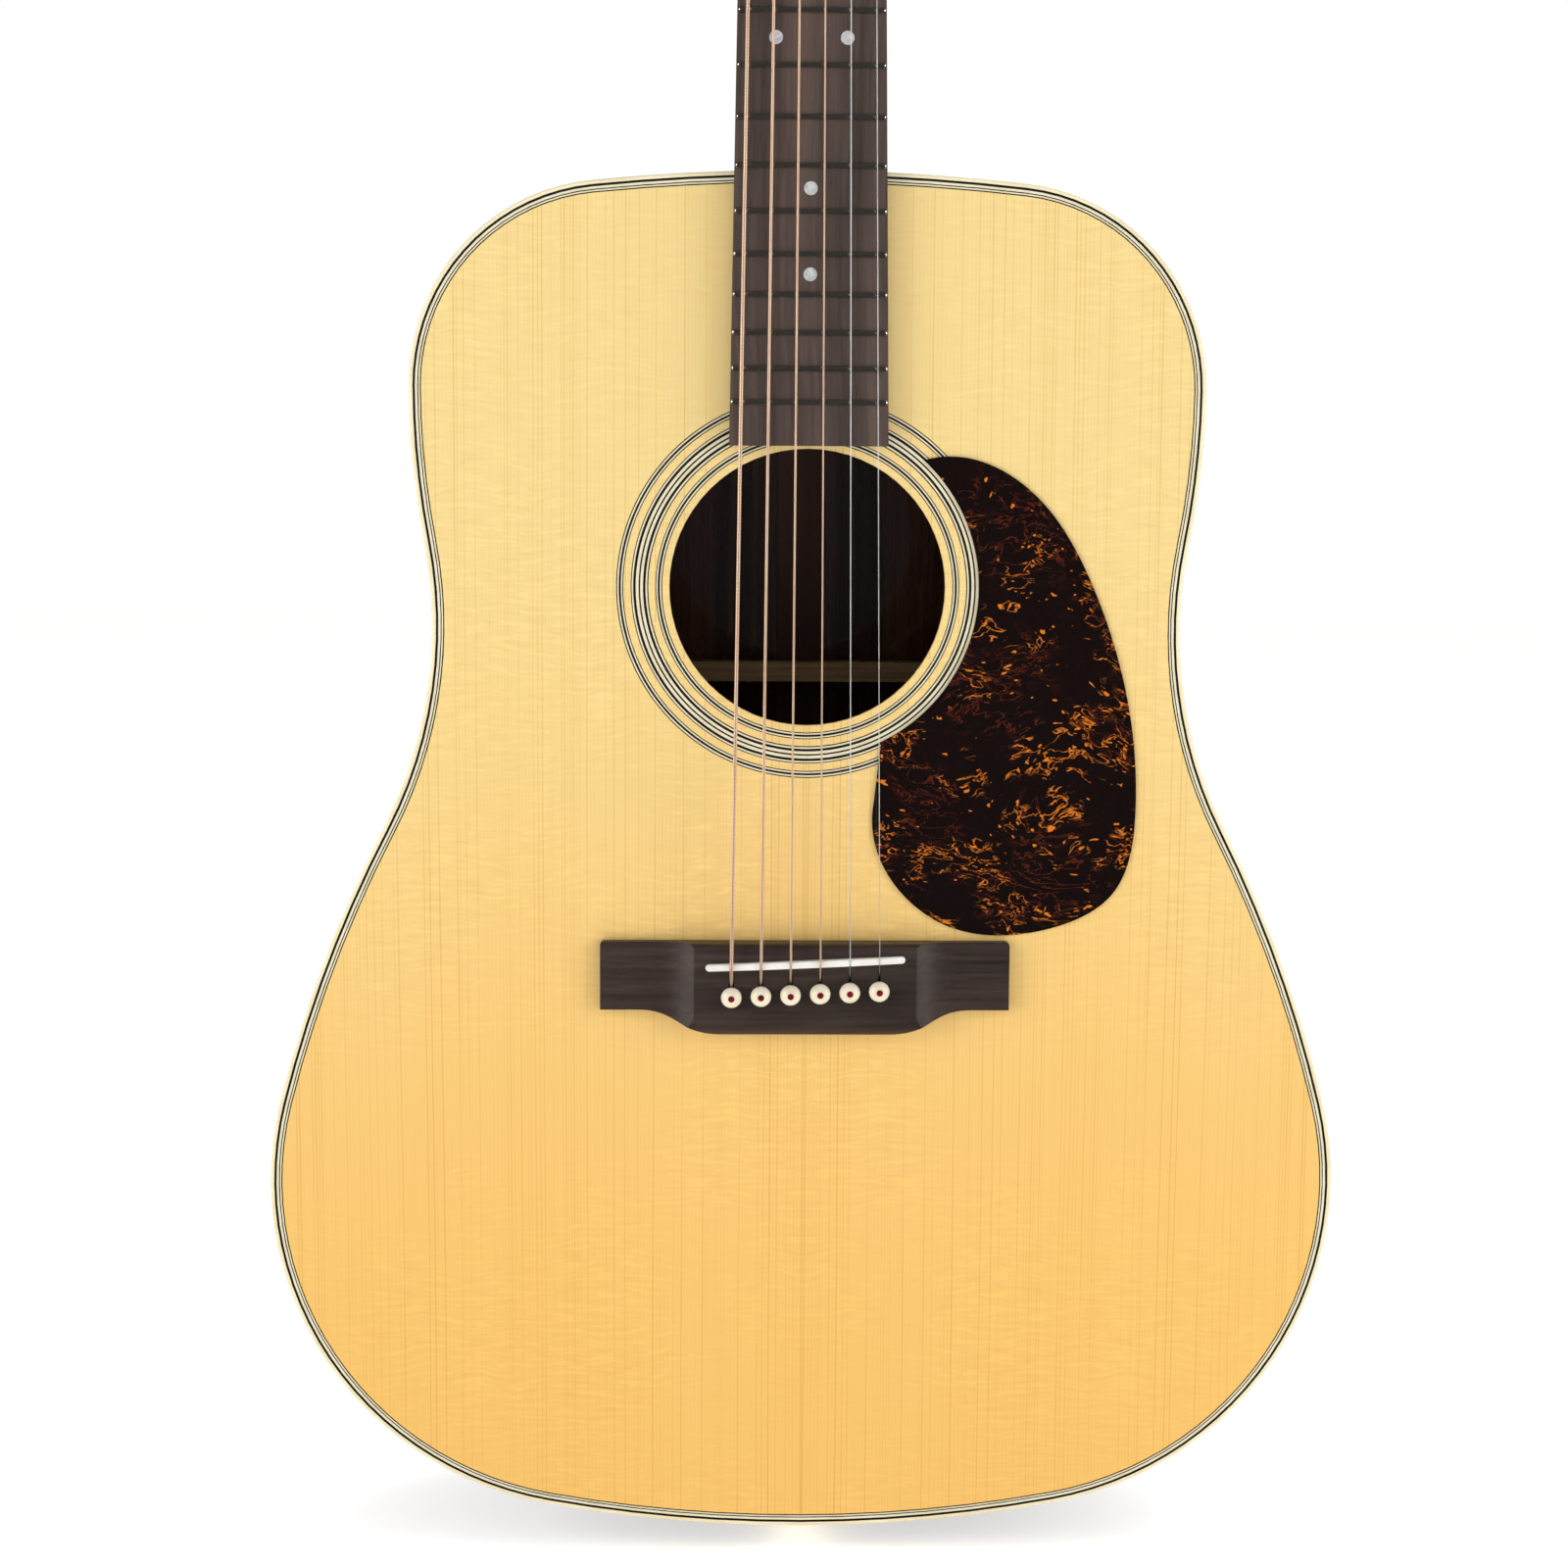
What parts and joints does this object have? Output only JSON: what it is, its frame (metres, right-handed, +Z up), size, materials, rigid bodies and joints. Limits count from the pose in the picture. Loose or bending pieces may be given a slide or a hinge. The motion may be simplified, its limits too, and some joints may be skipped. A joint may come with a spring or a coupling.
{
  "type": "acoustic guitar",
  "caption": "Steel-string flat-top guitar with a deep square-shouldered body, tortoise pickguard, belly bridge with pins and geared tuning machines.",
  "frame": {"origin": "middle of the width and depth, level with the tip of the end pin", "axes": "+Z up the neck to the headstock, -Y the way the soundboard and strings face, +X the treble side"},
  "size_m": [0.4004, 0.1367, 1.0429],
  "materials": {
    "spruce": "satin",
    "rosewood": "gloss",
    "mahogany": "satin",
    "ebony": "satin",
    "maple": "matte",
    "cream_plastic": "gloss",
    "black_line": "gloss",
    "white_line": "gloss",
    "tortoise": "gloss",
    "bone": "satin",
    "pin_plastic": "gloss",
    "pearl": "gloss",
    "fret_metal": "polished",
    "plain_steel": "polished",
    "bronze_wound": "wound",
    "nickel": "polished"
  },
  "bodies": {
    "guitar": {"back_binding": "cream_plastic", "back_braces": "spruce", "back_joint_strip": "spruce", "back_plate": "rosewood", "back_strip": "white_line", "bridge": "ebony", "bridge_plate": "maple", "end_wedge": "cream_plastic", "fingerboard": "ebony", "frets": "fret_metal", "head_veneer": "rosewood", "heel_cap": "cream_plastic", "linings": "spruce", "neck": "mahogany", "neck_block": "mahogany", "nut": "bone", "pickguard": "tortoise", "position_dots": "pearl", "rosette_black": "black_line", "rosette_white": "white_line", "saddle": "bone", "side_bass": "rosewood", "side_treble": "rosewood", "soundboard": "spruce", "string_1": "plain_steel", "string_2": "plain_steel", "string_3": "bronze_wound", "string_4": "bronze_wound", "string_5": "bronze_wound", "string_6": "bronze_wound", "tail_block": "mahogany", "top_binding": "cream_plastic", "top_braces": "spruce", "top_purfling_black": "black_line", "top_purfling_white": "white_line", "truss_rod": "plain_steel", "tuner_bushings": "nickel", "tuner_plates": "nickel", "tuner_screws": "nickel", "x_brace": "spruce"},
    "bridge_pin_1": {"bridge_pin_1": "pin_plastic"},
    "bridge_pin_2": {"bridge_pin_2": "pin_plastic"},
    "bridge_pin_3": {"bridge_pin_3": "pin_plastic"},
    "bridge_pin_4": {"bridge_pin_4": "pin_plastic"},
    "bridge_pin_5": {"bridge_pin_5": "pin_plastic"},
    "bridge_pin_6": {"bridge_pin_6": "pin_plastic"},
    "end_pin": {"end_pin": "pin_plastic"},
    "tuner_1_key": {"tuner_1_key": "nickel"},
    "tuner_1_post": {"tuner_1_post": "nickel"},
    "tuner_2_key": {"tuner_2_key": "nickel"},
    "tuner_2_post": {"tuner_2_post": "nickel"},
    "tuner_3_key": {"tuner_3_key": "nickel"},
    "tuner_3_post": {"tuner_3_post": "nickel"},
    "tuner_4_key": {"tuner_4_key": "nickel"},
    "tuner_4_post": {"tuner_4_post": "nickel"},
    "tuner_5_key": {"tuner_5_key": "nickel"},
    "tuner_5_post": {"tuner_5_post": "nickel"},
    "tuner_6_key": {"tuner_6_key": "nickel"},
    "tuner_6_post": {"tuner_6_post": "nickel"}
  },
  "joints": [
    {"name": "bridge_pin_1_pull", "type": "slide", "parent": "guitar", "child": "bridge_pin_1", "axis": [0, -1, 0], "range_m": [0, 0.03]},
    {"name": "bridge_pin_2_pull", "type": "slide", "parent": "guitar", "child": "bridge_pin_2", "axis": [0, -1, 0], "range_m": [0, 0.03]},
    {"name": "bridge_pin_3_pull", "type": "slide", "parent": "guitar", "child": "bridge_pin_3", "axis": [0, -1, 0], "range_m": [0, 0.03]},
    {"name": "bridge_pin_4_pull", "type": "slide", "parent": "guitar", "child": "bridge_pin_4", "axis": [0, -1, 0], "range_m": [0, 0.03]},
    {"name": "bridge_pin_5_pull", "type": "slide", "parent": "guitar", "child": "bridge_pin_5", "axis": [0, -1, 0], "range_m": [0, 0.03]},
    {"name": "bridge_pin_6_pull", "type": "slide", "parent": "guitar", "child": "bridge_pin_6", "axis": [0, -1, 0], "range_m": [0, 0.03]},
    {"name": "end_pin_pull", "type": "slide", "parent": "guitar", "child": "end_pin", "axis": [0, 0, -1], "range_m": [0, 0.03]},
    {"name": "tuner_1_key_turn", "type": "hinge", "parent": "guitar", "child": "tuner_1_key", "pos_m": [0.0219, -0.02803, 0.9128], "axis": [1, 0, 0], "continuous": true},
    {"name": "tuner_1_post_turn", "type": "hinge", "parent": "guitar", "child": "tuner_1_post", "pos_m": [0.0219, -0.03038, 0.92295], "axis": [0, 0.9659, -0.2588], "continuous": true},
    {"name": "tuner_2_key_turn", "type": "hinge", "parent": "guitar", "child": "tuner_2_key", "pos_m": [0.02365, -0.01638, 0.95627], "axis": [1, 0, 0], "continuous": true},
    {"name": "tuner_2_post_turn", "type": "hinge", "parent": "guitar", "child": "tuner_2_post", "pos_m": [0.02365, -0.01873, 0.96642], "axis": [0, 0.9659, -0.2588], "continuous": true},
    {"name": "tuner_3_key_turn", "type": "hinge", "parent": "guitar", "child": "tuner_3_key", "pos_m": [0.02541, -0.00474, 0.99973], "axis": [1, 0, 0], "continuous": true},
    {"name": "tuner_3_post_turn", "type": "hinge", "parent": "guitar", "child": "tuner_3_post", "pos_m": [0.02541, -0.00709, 1.00989], "axis": [0, 0.9659, -0.2588], "continuous": true},
    {"name": "tuner_4_key_turn", "type": "hinge", "parent": "guitar", "child": "tuner_4_key", "pos_m": [-0.02541, -0.00474, 0.99973], "axis": [-1, 0, 0], "continuous": true},
    {"name": "tuner_4_post_turn", "type": "hinge", "parent": "guitar", "child": "tuner_4_post", "pos_m": [-0.02541, -0.00709, 1.00989], "axis": [0, 0.9659, -0.2588], "continuous": true},
    {"name": "tuner_5_key_turn", "type": "hinge", "parent": "guitar", "child": "tuner_5_key", "pos_m": [-0.02365, -0.01638, 0.95627], "axis": [-1, 0, 0], "continuous": true},
    {"name": "tuner_5_post_turn", "type": "hinge", "parent": "guitar", "child": "tuner_5_post", "pos_m": [-0.02365, -0.01873, 0.96642], "axis": [0, 0.9659, -0.2588], "continuous": true},
    {"name": "tuner_6_key_turn", "type": "hinge", "parent": "guitar", "child": "tuner_6_key", "pos_m": [-0.0219, -0.02803, 0.9128], "axis": [-1, 0, 0], "continuous": true},
    {"name": "tuner_6_post_turn", "type": "hinge", "parent": "guitar", "child": "tuner_6_post", "pos_m": [-0.0219, -0.03038, 0.92295], "axis": [0, 0.9659, -0.2588], "continuous": true}
  ],
  "couplings": [
    {"joint": "tuner_1_post_turn", "follows": "tuner_1_key_turn", "ratio": 0.055556},
    {"joint": "tuner_2_post_turn", "follows": "tuner_2_key_turn", "ratio": 0.055556},
    {"joint": "tuner_3_post_turn", "follows": "tuner_3_key_turn", "ratio": 0.055556},
    {"joint": "tuner_4_post_turn", "follows": "tuner_4_key_turn", "ratio": -0.055556},
    {"joint": "tuner_5_post_turn", "follows": "tuner_5_key_turn", "ratio": -0.055556},
    {"joint": "tuner_6_post_turn", "follows": "tuner_6_key_turn", "ratio": -0.055556}
  ]
}
